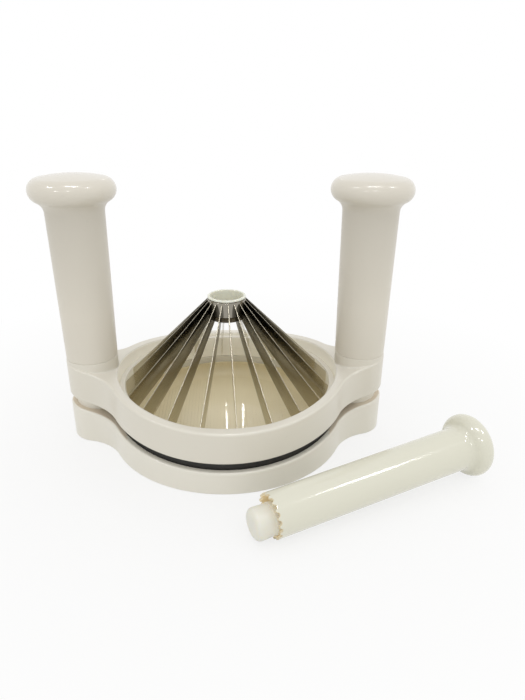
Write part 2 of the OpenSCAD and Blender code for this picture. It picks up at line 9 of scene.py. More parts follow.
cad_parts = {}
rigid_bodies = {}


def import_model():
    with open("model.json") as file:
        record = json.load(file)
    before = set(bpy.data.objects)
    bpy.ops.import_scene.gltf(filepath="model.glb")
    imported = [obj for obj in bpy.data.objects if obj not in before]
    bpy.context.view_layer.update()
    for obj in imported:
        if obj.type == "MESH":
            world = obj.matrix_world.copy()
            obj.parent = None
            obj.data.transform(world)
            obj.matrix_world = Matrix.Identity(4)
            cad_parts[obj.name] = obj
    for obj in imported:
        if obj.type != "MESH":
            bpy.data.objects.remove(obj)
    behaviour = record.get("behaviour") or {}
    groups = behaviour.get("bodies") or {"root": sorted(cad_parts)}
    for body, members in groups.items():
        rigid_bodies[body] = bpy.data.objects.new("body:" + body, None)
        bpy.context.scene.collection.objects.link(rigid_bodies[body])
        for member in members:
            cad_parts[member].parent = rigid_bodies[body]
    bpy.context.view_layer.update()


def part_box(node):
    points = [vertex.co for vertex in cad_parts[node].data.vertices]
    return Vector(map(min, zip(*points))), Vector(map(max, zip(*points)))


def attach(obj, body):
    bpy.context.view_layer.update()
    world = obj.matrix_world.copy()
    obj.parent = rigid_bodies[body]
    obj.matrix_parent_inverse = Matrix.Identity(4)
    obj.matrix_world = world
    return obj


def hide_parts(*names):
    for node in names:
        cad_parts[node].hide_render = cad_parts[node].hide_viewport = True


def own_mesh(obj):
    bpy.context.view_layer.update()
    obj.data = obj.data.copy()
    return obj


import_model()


# Base
# The lower ring: one moulding of warm white plastic with a bowl in the middle, a groove in its rim for
# the rubber bumper, and two ears that carry the guide posts. Its white is a lighter copy of the frame's,
# as painted light, and the land on the ears between the rings is painted tan as the shade of the gap.
MM = 0.001
scene = bpy.context.scene
SIDES = (-1, 1)


def in_mm(node):
    """Lowest and highest corner of a CAD node, in millimetres."""
    low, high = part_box(node)
    return low / MM, high / MM


base_high = in_mm("base_ring")[1]
bumper_high = in_mm("bumper_ring")[1]
handle_low, handle_high = in_mm("handle_right")
handle_x = (handle_low.x + handle_high.x) / 2
ring_r = base_high.y
ear_r, ear_fillet_r = 17.2, 32.0
ear_x = base_high.x - ear_r
web_x = ((ring_r + ear_fillet_r) ** 2 - (ear_r + ear_fillet_r) ** 2 + ear_x ** 2) / (2 * ear_x)
web_y = sqrt((ring_r + ear_fillet_r) ** 2 - web_x ** 2)
web_lean, ear_lean = atan2(web_y, web_x), atan2(web_y, web_x - ear_x)
RING_STEPS, WEB_STEPS, EAR_STEPS, ROUND_STEPS, EDGE_STEPS = 26, 12, 18, 5, 3


def wave(low_z, wave_r):
    """Height, as a function of x, of a surface that rises towards the ears."""
    return lambda x: low_z + wave_r - sqrt(wave_r ** 2 - x ** 2)


def arc(centre, radius, start, end, steps):
    """Points on an arc, both ends included."""
    turns = [start + (end - start) * i / steps for i in range(steps + 1)]
    return [(centre[0] + radius * cos(a), centre[1] + radius * sin(a)) for a in turns]


def circle(centre, radius, steps):
    """Points all round a circle, each once."""
    return arc(centre, radius, 0, 2 * pi, steps)[:-1]


def mirrored_all_round(quarter):
    """A loop from its front right quarter, which ends at the ear's tip."""
    right = quarter + [(x, -y) for x, y in reversed(quarter[:-1])]
    return right + [(-x, y) for x, y in reversed(right[1:-1])]


def plan_outline(inset):
    """The ring with its two ears, drawn in by inset."""
    ring = arc((0, 0), ring_r - inset, -pi / 2, -web_lean, RING_STEPS)
    web = arc((web_x, -web_y), ear_fillet_r + inset, pi - web_lean, pi - ear_lean, WEB_STEPS)
    ear = arc((ear_x, 0), ear_r - inset, -ear_lean, 0, EAR_STEPS)
    return mirrored_all_round(ring + web[1:] + ear[1:])


def plan_circle(radius):
    """A circle with as many points as the outline, to be joined to it."""
    ring = arc((0, 0), radius, -pi / 2, -web_lean, RING_STEPS)
    rest = arc((0, 0), radius, -web_lean, 0, WEB_STEPS + EAR_STEPS)
    return mirrored_all_round(ring + rest[1:])


def on_height(loop, height, drop=0.0):
    """Plan points at a height, a number or a function of x, less a drop."""
    return [(x, y, (height(x) if callable(height) else height) - drop) for x, y in loop]


def land_between(first, last, height):
    """Loops that carry a land across from one plan loop to another."""
    loops = []
    for share in (0.25, 0.5, 0.75, 1.0):
        pairs = zip(first, last)
        mid = [(a[0] + (b[0] - a[0]) * share, a[1] + (b[1] - a[1]) * share) for a, b in pairs]
        loops.append(on_height(mid, height))
    return loops


def rounding(radius, steps=ROUND_STEPS):
    """A quarter round as (inwards, up) from the wall to the land."""
    turns = [i * pi / 2 / steps for i in range(steps + 1)]
    return [(radius * (1 - cos(a)), radius * sin(a)) for a in turns]


def eased(plan, height, ease, steps=ROUND_STEPS, under=False):
    """Loops round an eased edge, wall to land; plan gives the points so far from the wall."""
    drops = [(inward, up - ease if under else ease - up) for inward, up in rounding(ease, steps)]
    return [on_height(plan(inward), height, drop) for inward, drop in drops]


def loft(loops, caps=False, ring=False):
    """A skin over equal loops; caps closes the ends, ring joins last to first."""
    count = len(loops[0])
    points = [p for loop in loops for p in loop]
    faces = []
    for i in range(len(loops) if ring else len(loops) - 1):
        a, b = i * count, (i + 1) % len(loops) * count
        faces += [(a + j, a + (j + 1) % count, b + (j + 1) % count, b + j) for j in range(count)]
    if caps:
        faces.append(tuple(range(count)))
        faces.append(tuple(range(len(points) - count, len(points))))
    return points, faces


def joined(shapes):
    """Several skins as one, points and faces."""
    points, faces = [], []
    for more_points, more_faces in shapes:
        shift = len(points)
        points += more_points
        faces += [tuple(i + shift for i in face) for face in more_faces]
    return points, faces


CREASE = radians(38)


def settle_mesh(mesh):
    """Welds points, turns faces outwards and shades smooth apart from creases."""
    bm = bmesh.new()
    bm.from_mesh(mesh)
    bmesh.ops.remove_doubles(bm, verts=bm.verts, dist=1e-7)
    bmesh.ops.recalc_face_normals(bm, faces=bm.faces)
    for face in bm.faces:
        face.smooth = True
    for edge in bm.edges:
        edge.smooth = len(edge.link_faces) != 2 or edge.calc_face_angle(0) < CREASE
    bm.to_mesh(mesh)
    bm.free()


def make_mesh(shape, place=None):
    """A mesh from points in millimetres and faces, moved to its place."""
    points, faces = shape
    mesh = bpy.data.meshes.new("shape")
    mesh.from_pydata([Vector(p) * MM for p in points], [], faces)
    settle_mesh(mesh)
    if place:
        mesh.transform(place)
    return mesh


def rod(start, end, radius, steps=64):
    """A closed round bar between two points, used as a drill."""
    along = (Vector(end) - Vector(start)).to_track_quat("Z", "Y")
    section = [along @ Vector((x, y, 0)) for x, y in circle((0, 0), radius, steps)]
    return loft([[Vector(tip) + p for p in section] for tip in (start, end)], caps=True)


def drilled(mesh, bars):
    """The mesh with holes cut where the bars are."""
    body = bpy.data.objects.new("drilled_body", mesh)
    tool = bpy.data.objects.new("drills", make_mesh(joined(bars)))
    for each in (body, tool):
        scene.collection.objects.link(each)
    cut = body.modifiers.new("cut", "BOOLEAN")
    cut.object = tool
    cut.solver = "EXACT"
    graph = bpy.context.evaluated_depsgraph_get()
    result = bpy.data.meshes.new_from_object(body.evaluated_get(graph))
    bpy.data.batch_remove((body, tool, tool.data))
    settle_mesh(result)
    return result


def make_piece(name, mesh, finish, body, replaced=(), place=None):
    """A piece with its finish, its body and the CAD nodes it stands for."""
    if not mesh.materials:
        mesh.materials.append(finish)
    mesh.name = name
    piece = bpy.data.objects.new(name, mesh)
    scene.collection.objects.link(piece)
    if place:
        piece.matrix_world = place
    even = piece.modifiers.new("even_shading", "WEIGHTED_NORMAL")
    even.keep_sharp = True
    bpy.context.view_layer.update()
    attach(piece, body)
    if replaced:
        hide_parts(*replaced)
    return piece


def srgb(red, green, blue):
    """A colour of 0 to 255 as the linear colour that a shader takes."""
    channels = [c / 255 for c in (red, green, blue)]
    linear = [c / 12.92 if c <= 0.04045 else ((c + 0.055) / 1.055) ** 2.4 for c in channels]
    return (*linear, 1.0)


def new_group(name, inputs):
    """A node group with those inputs, which puts out colour, roughness and height."""
    group = bpy.data.node_groups.new(name, "ShaderNodeTree")
    number, colour = "NodeSocketFloat", "NodeSocketColor"
    for label, default in inputs.items():
        kind = number if isinstance(default, float) else colour
        socket = group.interface.new_socket(label, in_out="INPUT", socket_type=kind)
        socket.default_value = default
    for label, kind in (("Colour", colour), ("Roughness", number), ("Height", number)):
        group.interface.new_socket(label, in_out="OUTPUT", socket_type=kind)
    given = group.nodes.new("NodeGroupInput").outputs
    group.nodes.new("NodeGroupOutput")
    return group, given


def put_out(group, *made):
    """Links the colour, roughness and height to a group's outputs."""
    for socket, output in zip(made, group.nodes["Group Output"].inputs):
        group.links.new(socket, output)


def set_inputs(node, values):
    """Sets a node's inputs by their labels."""
    for label, value in values.items():
        node.inputs[label].default_value = value


def add_noise(tree, coordinates, scale, detail, rough=0.5):
    """A noise texture on those coordinates."""
    noise = tree.nodes.new("ShaderNodeTexNoise")
    set_inputs(noise, {"Scale": scale, "Detail": detail, "Roughness": rough})
    tree.links.new(coordinates, noise.inputs["Vector"])
    return noise.outputs["Fac"]


def add_math(tree, operation, *values):
    """A math node on numbers or sockets."""
    node = tree.nodes.new("ShaderNodeMath")
    node.operation = operation
    for socket, value in zip(node.inputs, values):
        if isinstance(value, (int, float)):
            socket.default_value = value
        else:
            tree.links.new(value, socket)
    return node.outputs[0]


def add_range(tree, value, span, to):
    """A value mapped from one (low, high) span to another, and clamped."""
    node = tree.nodes.new("ShaderNodeMapRange")
    node.clamp = True
    set_inputs(node, dict(zip(("From Min", "From Max", "To Min", "To Max"), (*span, *to))))
    tree.links.new(value, node.inputs["Value"])
    return node.outputs["Result"]


def add_tint(tree, colour, factor):
    """A colour multiplied by a factor."""
    node = tree.nodes.new("ShaderNodeVectorMath")
    node.operation = "SCALE"
    tree.links.new(colour, node.inputs[0])
    tree.links.new(factor, node.inputs["Scale"])
    return node.outputs[0]


def add_swing(tree, noise, amount):
    """A noise as a swing to both sides of nought, times an amount."""
    return add_math(tree, "MULTIPLY", add_math(tree, "SUBTRACT", noise, 0.5), amount)


def build_moulded_skin():
    """Moulded plastic: cloudy tone, a few specks, patchy gloss and faint orange peel."""
    group, given = new_group("moulded_skin", {
        "Colour": (0.8, 0.8, 0.8, 1), "Cloud": 0.05, "Gloss": 0.3, "Smear": 0.1, "Specks": 0.015})
    place = group.nodes.new("ShaderNodeTexCoord").outputs["Object"]
    cloud = add_noise(group, place, 21.0, 2.0)
    smear = add_noise(group, place, 60.0, 3.0, 0.6)
    peel = add_noise(group, place, 620.0, 2.0)
    grain = add_noise(group, place, 5200.0, 1.0)
    dots = add_range(group, add_noise(group, place, 410.0, 0.0), (0.80, 0.86), (0.0, 1.0))
    specks = add_math(group, "MULTIPLY", dots, given["Specks"])
    tone = add_math(group, "SUBTRACT", add_swing(group, cloud, given["Cloud"]), specks)
    shade = add_tint(group, given["Colour"], add_math(group, "ADD", tone, 1.0))
    rough = add_math(group, "ADD", given["Gloss"], add_swing(group, smear, given["Smear"]))
    relief = add_math(group, "ADD", peel, add_math(group, "MULTIPLY", grain, 0.25))
    put_out(group, shade, rough, relief)
    return group


moulded_skin = build_moulded_skin()


def shader_of(finish):
    """A material's shader."""
    return finish.node_tree.nodes["Principled BSDF"]


def new_finish(name, group, values, depth, strength):
    """A material with an effect group and a bump of that depth in millimetres."""
    finish = bpy.data.materials.new(name)
    finish.use_nodes = True
    tree, shader = finish.node_tree, shader_of(finish)
    skin = tree.nodes.new("ShaderNodeGroup")
    skin.node_tree = group
    set_inputs(skin, values)
    bump = tree.nodes.new("ShaderNodeBump")
    set_inputs(bump, {"Strength": strength, "Distance": depth * MM})
    tree.links.new(skin.outputs["Height"], bump.inputs["Height"])
    tree.links.new(skin.outputs["Colour"], shader.inputs["Base Color"])
    tree.links.new(skin.outputs["Roughness"], shader.inputs["Roughness"])
    tree.links.new(bump.outputs["Normal"], shader.inputs["Normal"])
    return finish


def plastic_finish(name, colour, gloss=0.30, smear=0.05, cloud=0.03, peel=0.02, coat=0.0, under=0.0):
    """A moulded plastic with smears, cloudy tone, orange peel and light under its skin."""
    values = {"Colour": colour, "Cloud": cloud, "Gloss": gloss, "Smear": smear}
    finish = new_finish(name, moulded_skin, values, peel, 0.35)
    set_inputs(shader_of(finish), {
        "IOR": 1.49, "Coat Weight": coat, "Coat Roughness": 0.09, "Subsurface Weight": under,
        "Subsurface Radius": (1.0, 0.8, 0.55), "Subsurface Scale": 2.0 * MM})
    return finish


def lay_finishes(mesh, finishes, which):
    """Gives a mesh several finishes; which tells the number of each face's finish."""
    mesh.materials.clear()
    for finish in finishes:
        mesh.materials.append(finish)
    for face in mesh.polygons:
        face.material_index = which(face)


def off_axis(face):
    """A face's distance from the upright axis, in millimetres."""
    return hypot(face.center.x, face.center.y) / MM


base_h, parting_gap, landing_play, parting_wave_r = 14.2, 5.8, 0.3, 500.0
groove_deep, groove_play, bumper_groove_w, bowl_rim_w = 2.0, 0.05, 3.7, 2.0
bowl_floor, bowl_rim_below_blades = 3.5, 16.0
foot_round, rim_round, lip_round, cove = 0.9, 1.5, 0.5, 2.0
base_top = wave(base_h, parting_wave_r)
frame_z = base_h + parting_gap
land_top = wave(frame_z - landing_play, parting_wave_r)
bowl_rim_z = in_mm("blade_ring")[1].z - bowl_rim_below_blades
groove_floor = wave(base_h - groove_deep, parting_wave_r)
groove_out_r = bumper_high.x + groove_play
groove_in_r = groove_out_r - bumper_groove_w
bowl_r = groove_in_r - bowl_rim_w


def base_loops():
    """The base's skin: underside, rim, groove, and down to the bowl's floor."""
    loops = eased(plan_outline, 0, foot_round, under=True)[::-1]
    loops += eased(plan_outline, base_top, rim_round)
    loops += land_between(plan_outline(rim_round), plan_circle(groove_out_r + lip_round), base_top)
    loops += eased(lambda out: plan_circle(groove_out_r + out), base_top, lip_round, EDGE_STEPS)[-2::-1]
    loops += [on_height(plan_circle(r), groove_floor) for r in (groove_out_r, groove_in_r)]
    loops += eased(lambda inward: plan_circle(groove_in_r - inward), bowl_rim_z, lip_round, EDGE_STEPS)
    loops += eased(lambda out: plan_circle(bowl_r + out), bowl_rim_z, lip_round, EDGE_STEPS)[::-1]
    return loops + eased(lambda inward: plan_circle(bowl_r - inward), bowl_floor, cove, under=True)


post_head_r, post_head_deep = 4.1, 2.7
seat_head_r, seat_head_deep, seat_screw_in = 2.58, 1.9, 15.0
below = -1.0
seat_screw_turns = (pi / 2, pi * 7 / 6, pi * 11 / 6)
screw_ring_r = bowl_r - seat_screw_in
seat_screw_at = [(screw_ring_r * cos(a), screw_ring_r * sin(a)) for a in seat_screw_turns]
post_at = [(side * handle_x, 0) for side in SIDES]
sunk_heads = [rod((x, y, below), (x, y, post_head_deep), post_head_r) for x, y in post_at]
sunk_heads += [rod((x, y, below), (x, y, seat_head_deep), seat_head_r, 40) for x, y in seat_screw_at]
shade_from_x = 0.8 * ring_r


def on_shaded_land(face):
    """1 for a face of the land on an ear, otherwise 0."""
    on_ear = off_axis(face) > groove_out_r and abs(face.center.x) > shade_from_x * MM
    return int(on_ear and face.normal.z > 0.95)


# Painted light: a lighter copy of the shell's white, for the lower ring.
base_white_painted_light = plastic_finish("base_white_painted_light", srgb(232, 228, 216))
# Painted shade: the land on the ears, between the rings, is tan as the gap's shade.
land_painted_shade = plastic_finish("land_painted_shade", srgb(224, 212, 193), gloss=0.45, smear=0.1, cloud=0.06, peel=0.03)
base_mesh = drilled(make_mesh(loft(base_loops(), caps=True)), sunk_heads)
lay_finishes(base_mesh, (base_white_painted_light, land_painted_shade), on_shaded_land)
make_piece("base_moulding", base_mesh, base_white_painted_light, "base", ["base_ring"])


# Post lands
# Raised round lands on the base's ears, part of the same moulding. The guide posts stand in their
# sockets, and the cutter frame comes down on them.
land_r, land_round = 12.6, 0.7
post_r, socket_play, socket_round = 7.0, 0.05, 0.3
socket_r = post_r + socket_play
land_foot = base_h - 4.0
LAND_STEPS = 72


def land_loops(centre):
    """One land up its wall, over its rounded edge and down into the socket."""
    def ring(radius):
        return circle(centre, radius, LAND_STEPS)

    loops = [on_height(ring(land_r), land_foot)]
    loops += eased(lambda inward: ring(land_r - inward), land_top, land_round, 4)
    loops += eased(lambda out: ring(socket_r + out), land_top, socket_round, EDGE_STEPS)[::-1]
    return loops + [on_height(ring(socket_r), land_foot)]


land_mesh = make_mesh(joined([loft(land_loops(at), ring=True) for at in post_at]))
make_piece("post_lands", land_mesh, base_white_painted_light, "base")


# Bumper ring
# A black rubber gasket pressed into the base's groove. Its outer face has two lobes with a fine parting
# between them, and the cutter frame lands on its top.
bumper_r = bumper_high.x
bumper_w, bumper_sunk = 3.6, 1.95
bumper_foot = wave(base_h - bumper_sunk, parting_wave_r)
bumper_h = frame_z - landing_play - base_h + bumper_sunk
lobe_round, lobe_turn, upper_lobe_h = 0.6, radians(75), 2.0
parting_deep, upper_lobe_in = 0.95, 0.85
parting_at = bumper_h - upper_lobe_h
parting_low, parting_high, lobe_from = parting_at + 0.05, parting_at + 0.2, parting_at + 0.8
lobe_z, shoulder_z = parting_at - lobe_round, bumper_h - lobe_round
upper_r, inner_r = bumper_r - upper_lobe_in, bumper_r - bumper_w
bumper_section = [(bumper_r, 0.0), (bumper_r, lobe_z)]
bumper_section += arc((bumper_r - lobe_round, lobe_z), lobe_round, 0, lobe_turn, 5)[1:]
bumper_section += [(bumper_r - parting_deep, z) for z in (parting_low, parting_high)]
bumper_section += arc((upper_r, lobe_from), lobe_round, -lobe_turn, 0, 5)
bumper_section += arc((upper_r, shoulder_z), lobe_round, 0, pi / 2, 5)
bumper_section += arc((inner_r + lobe_round, shoulder_z), lobe_round, pi / 2, pi, 5) + [(inner_r, 0.0)]
rubber_values = {"Colour": srgb(30, 29, 27), "Cloud": 0.4, "Gloss": 0.5, "Smear": 0.2}
black_rubber = new_finish("black_rubber", moulded_skin, rubber_values, 0.08, 0.5)
set_inputs(shader_of(black_rubber), {"IOR": 1.5})
bumper_loops = [on_height(plan_circle(r), bumper_foot, -z) for r, z in bumper_section]
bumper_mesh = make_mesh(loft(bumper_loops, ring=True))
make_piece("bumper_gasket", bumper_mesh, black_rubber, "base", ["bumper_ring"])


# Onion seat
# A shallow cup of tan plastic in the bowl, held by three screws from below. Its thin upstand lines the
# bowl's wall, and its polished floor has a soft dish and fine grooves from front to back.
seat_low, seat_high = in_mm("onion_seat")
seat_r = seat_high.x
seat_thick, upstand_t, cup_round, cove_r = 4.0, 1.3, 0.6, 7.0
seat_floor = seat_low.z + seat_thick
seat_in_r = seat_r - upstand_t
dish_r, dish_depth = 30.0, 0.3
rib_pitch, rib_h, rib_sunk, groove_w = 2.2, 0.25, 0.2, 0.2
RIB_STEPS, COVE_STEPS, DISH_STEPS, RIB_STOPS = 4, 12, 16, 20


def seat_height(radius):
    """Height of the cup's floor between its ribs."""
    sunk = dish_depth * (0.5 + 0.5 * cos(pi * min(radius, dish_r) / dish_r))
    return seat_floor - rib_h - sunk


def outer_edge(radius, top, ease, steps=EDGE_STEPS):
    """The rounded top edge of an outer wall as (radius, height)."""
    return [(radius - inward, top - ease + up) for inward, up in rounding(ease, steps)]


def inner_edge(radius, top, ease, steps=EDGE_STEPS):
    """The rounded top edge of an inner wall as (radius, height)."""
    return [(radius + inward, top - ease + up) for inward, up in reversed(rounding(ease, steps))]


def cup_loops():
    """The cup from its underside, over the ribbed upstand, to the middle of the dish."""
    rib_count = round(2 * pi * seat_in_r / rib_pitch)
    turns = [2 * pi * i / (rib_count * RIB_STEPS) for i in range(rib_count * RIB_STEPS)]

    def ring_at(radius, height, depth=0.0):
        swell = [radius + depth * (0.5 - 0.5 * cos(rib_count * a)) for a in turns]
        return [(r * cos(a), r * sin(a), height) for r, a in zip(swell, turns)]

    foot = seat_height(seat_in_r)
    dish = [dish_r * (1 - i / DISH_STEPS) for i in range(DISH_STEPS + 1)]
    loops = [ring_at(0, seat_low.z), ring_at(seat_r - cup_round, seat_low.z)]
    loops += [ring_at(seat_r, seat_low.z + cup_round)]
    loops += [ring_at(r, z) for r, z in outer_edge(seat_r, seat_high.z, cup_round)]
    loops += [ring_at(r, z) for r, z in inner_edge(seat_in_r, seat_high.z, cup_round)]
    loops += [ring_at(seat_in_r, z, rib_h) for z in (seat_high.z - 2 * cup_round, foot + cove_r)]
    for inward, up in rounding(cove_r, COVE_STEPS):
        loops.append(ring_at(seat_in_r - inward, foot + cove_r - up))
    return loops + [ring_at(r, seat_height(r)) for r in dish]


def floor_rib(x):
    """One rib across the cup's floor, following the dish."""
    reach = sqrt((seat_in_r - cove_r) ** 2 - x ** 2)
    half = (rib_pitch - groove_w) / 2
    section = [(-half, -rib_sunk), (-half, rib_h), (half, rib_h), (half, -rib_sunk)]
    loops = []
    for i in range(2 * RIB_STOPS + 1):
        y = reach * (i / RIB_STOPS - 1)
        loops.append([(x + dx, y, seat_height(hypot(x, y)) + dz) for dx, dz in section])
    return loft(loops, caps=True)


def place_of(tree, kind="Object"):
    """The shaded point's X, Y and Z, as sockets."""
    place = tree.nodes.new("ShaderNodeSeparateXYZ")
    tree.links.new(tree.nodes.new("ShaderNodeTexCoord").outputs[kind], place.inputs["Vector"])
    return place.outputs


def shade_colour(finish, factor):
    """Multiplies a material's base colour by a factor socket."""
    colour = shader_of(finish).inputs["Base Color"]
    tint = add_tint(finish.node_tree, colour.links[0].from_socket, factor)
    finish.node_tree.links.new(tint, colour)


def seat_finish():
    """Polished tan plastic, darker at the front and lighter at the back, as painted shade and light."""
    finish = plastic_finish("seat_tan", srgb(230, 218, 184), gloss=0.25, cloud=0.05, peel=0.01)
    tree, shader = finish.node_tree, shader_of(finish)
    set_inputs(shader, {"Coat Roughness": 0.012, "Specular IOR Level": 0.1})
    place = place_of(tree)
    front_to_back = (-0.045, 0.060)
    above_floor = ((seat_floor + 0.1) * MM, (seat_floor + 1.0) * MM)
    # Painted shade and light: darker towards the front, lighter towards the back.
    shade_colour(finish, add_range(tree, place["Y"], front_to_back, (0.80, 1.06)))
    polish = add_range(tree, place["Z"], above_floor, (0.4, 0.0))
    tree.links.new(polish, shader.inputs["Coat Weight"])
    return finish


rib_margin = 2.0
rib_reach = int((seat_in_r - cove_r - rib_margin) / rib_pitch)
cup_ribs = [floor_rib(i * rib_pitch) for i in range(-rib_reach, rib_reach + 1)]
cup_mesh = make_mesh(joined([loft(cup_loops())] + cup_ribs))
make_piece("seat_cup", cup_mesh, seat_finish(), "base", ["onion_seat"])


# Guide posts, bushes and their screws
# Two polished steel posts, screwed to the base, run up inside the handles through bushes of dark bearing
# plastic. A stop washer and a screw on each post's top keep the head on.
def build_ground_steel():
    """Worked steel: cloudy tone and fine lines that catch the light."""
    group, given = new_group("ground_steel", {
        "Colour": (0.6, 0.6, 0.6, 1), "Turn": 0.0, "Lines": 0.1, "Gloss": 0.2})
    place = group.nodes.new("ShaderNodeTexCoord").outputs["Object"]
    lean = group.nodes.new("ShaderNodeCombineXYZ")
    group.links.new(given["Turn"], lean.inputs["Y"])
    drawn = group.nodes.new("ShaderNodeMapping")
    set_inputs(drawn, {"Scale": (30.0, 2600.0, 2600.0)})
    group.links.new(place, drawn.inputs["Vector"])
    group.links.new(lean.outputs["Vector"], drawn.inputs["Rotation"])
    lines = add_noise(group, drawn.outputs["Vector"], 1.0, 3.0, 0.6)
    cloud = add_noise(group, place, 70.0, 3.0)
    streak = add_swing(group, lines, given["Lines"])
    uneven = add_math(group, "ADD", streak, add_swing(group, cloud, 0.14))
    shade = add_tint(group, given["Colour"], add_math(group, "ADD", 1.0, uneven))
    rough = add_math(group, "MAXIMUM", add_math(group, "ADD", given["Gloss"], uneven), 0.04)
    put_out(group, shade, rough, lines)
    return group


ground_steel = build_ground_steel()


def steel_finish(name, colour, gloss, lines, turn=0.0):
    """A worked steel: colour, gloss, strength and direction of its lines."""
    values = {"Colour": colour, "Turn": turn, "Lines": lines, "Gloss": gloss}
    finish = new_finish(name, ground_steel, values, 0.01, 0.25)
    set_inputs(shader_of(finish), {"Metallic": 1.0})
    return finish


def dress_nodes(finish, *names):
    """Gives kept CAD nodes their finish."""
    for name in names:
        node = bpy.data.objects[name]
        node.data.materials.clear()
        node.data.materials.append(finish)


post_chrome = steel_finish("post_chrome", srgb(214, 215, 216), gloss=0.10, lines=0.05, turn=pi / 2)
screw_steel = steel_finish("screw_steel", srgb(196, 197, 200), gloss=0.26, lines=0.12)
bush_grey = plastic_finish("bush_grey", srgb(92, 93, 96), gloss=0.5, smear=0.12, cloud=0.15, peel=0.05)
dress_nodes(post_chrome, "guide_post_left", "guide_post_right")
dress_nodes(bush_grey, "guide_bush_left", "guide_bush_right")
dress_nodes(screw_steel, "seat_screws", "post_screws", "stop_washers", "stop_screws")


# Cutter frame
# The upper ring, moulded in the same white plastic, curved below and on top. Its ears carry round bosses
# for the handles, and a flange inside holds the blade ring. Its hole's wall is a lighter white with a
# faint glow, as painted light.
frame_h, top_wave_r, hole_r = 19.5, 385.0, 70.0
low_round, top_round, hole_round = 1.3, 1.6, 0.9
frame_bottom = wave(frame_z, parting_wave_r)
frame_top = wave(frame_z + frame_h, top_wave_r)
boss_clear, bush_hole_r, bore_over = 0.3, 9.3, 5.0
boss_r = handle_x - hole_r - boss_clear
seam_z, seam_round = handle_low.z, 0.45
hollow_least, hollow_most = 0.12, 1.4
BOSS_STEPS, HOLLOW_STEPS = 96, 5


def frame_loops():
    """The frame's skin: out along the parting, up the outer wall and in over the top."""
    loops = eased(lambda out: plan_circle(hole_r + out), frame_bottom, lip_round, EDGE_STEPS, under=True)
    loops += land_between(plan_circle(hole_r + lip_round), plan_outline(low_round), frame_bottom)
    loops += eased(plan_outline, frame_bottom, low_round, under=True)[-2::-1]
    loops += eased(plan_outline, frame_top, top_round)
    loops += land_between(plan_outline(top_round), plan_circle(hole_r + hole_round), frame_top)
    return loops + eased(lambda out: plan_circle(hole_r + out), frame_top, hole_round)[-2::-1]


def inside(radius):
    """A test: 1 for upright faces within that radius, otherwise 0."""
    return lambda face: int(off_axis(face) < radius and abs(face.normal.z) < 0.5)


def add_painted_glow(finish, colour, strength):
    """A faint glow of the finish, painted light for light through a thin wall."""
    set_inputs(shader_of(finish), {"Emission Color": colour, "Emission Strength": strength})


shell_white = plastic_finish("shell_white", srgb(224, 219, 206))
# Painted light: a lighter copy of the shell's white with a faint glow, for the hole's wall, the flange
# and the blade ring's inside.
inner_white_painted_light = plastic_finish("inner_white_painted_light", srgb(247, 243, 230))
add_painted_glow(inner_white_painted_light, srgb(240, 237, 224), 0.08)
bore_low, bore_high = frame_z - bore_over, seam_z + bore_over
post_bores = [rod((x, y, bore_low), (x, y, bore_high), bush_hole_r) for x, y in post_at]
frame_mesh = drilled(make_mesh(loft(frame_loops(), ring=True)), post_bores)
lay_finishes(frame_mesh, (shell_white, inner_white_painted_light), inside(hole_r + 0.3))
make_piece("cutter_frame_moulding", frame_mesh, shell_white, "head", ["cutter_frame"])


def foot_hollow(a):
    """Size of the hollow at a boss's foot, as far as ear and hole leave room."""
    set_in = handle_x - ear_x
    room = sqrt(ear_r ** 2 - (set_in * sin(a)) ** 2) - set_in * cos(a) - boss_r - top_round / 2
    aside = handle_x * sin(a)
    if cos(a) < 0 and abs(aside) < hole_r:
        room = min(room, -handle_x * cos(a) - sqrt(hole_r ** 2 - aside ** 2) - boss_r - hole_round)
    return max(hollow_least, min(hollow_most, room))


def boss_loops(side):
    """A boss from inside the ear, over the hollow at its foot, to the seam."""
    spread = [2 * pi * i / BOSS_STEPS for i in range(BOSS_STEPS)]
    hollow = [foot_hollow(a) for a in spread]
    sunk = frame_z + frame_h - 2

    def ring_at(rows):
        return [(side * (handle_x + r * cos(a)), r * sin(a), z) for a, (r, z) in zip(spread, rows)]

    loops = [ring_at([(boss_r + h, sunk) for h in hollow])]
    for i in range(HOLLOW_STEPS + 1):
        turn = i * pi / 2 / HOLLOW_STEPS
        radii = [boss_r + h * (1 - sin(turn)) for h in hollow]
        feet = [frame_top(handle_x + r * cos(a)) - 0.05 + h * (1 - cos(turn))
                for a, r, h in zip(spread, radii, hollow)]
        loops.append(ring_at([(r, min(z, seam_z - 0.5)) for r, z in zip(radii, feet)]))
    top = outer_edge(boss_r, seam_z, seam_round) + [(bush_hole_r, seam_z), (bush_hole_r, sunk)]
    return loops + [ring_at([row] * BOSS_STEPS) for row in top]


boss_mesh = make_mesh(joined([loft(boss_loops(side), ring=True) for side in SIDES]))
make_piece("handle_bosses", boss_mesh, shell_white, "head")

ring_low, ring_high = in_mm("blade_ring")
flange_in, flange_out, flange_ease = 66.5, hole_r + 0.4, 0.3
flange_low = bowl_rim_z + 0.3
WIDE_STEPS = 160


def lathe(section, centre=(0, 0), steps=96, closed=False):
    """A turned form from (radius, height) points; closed joins the last to the first."""
    around = section + section[:1] if closed else section
    return loft([on_height(circle(centre, r, steps), z) for r, z in around])


flange_section = [(flange_out, ring_low.z), (flange_in + flange_ease, ring_low.z)]
flange_section += [(flange_in, ring_low.z - flange_ease), (flange_in, flange_low + flange_ease)]
flange_section += [(flange_in + flange_ease, flange_low), (flange_out, flange_low)]
flange_mesh = make_mesh(lathe(flange_section, steps=WIDE_STEPS, closed=True))
# Painted light: the flange takes the lighter, glowing white.
make_piece("blade_ring_flange", flange_mesh, inner_white_painted_light, "head")


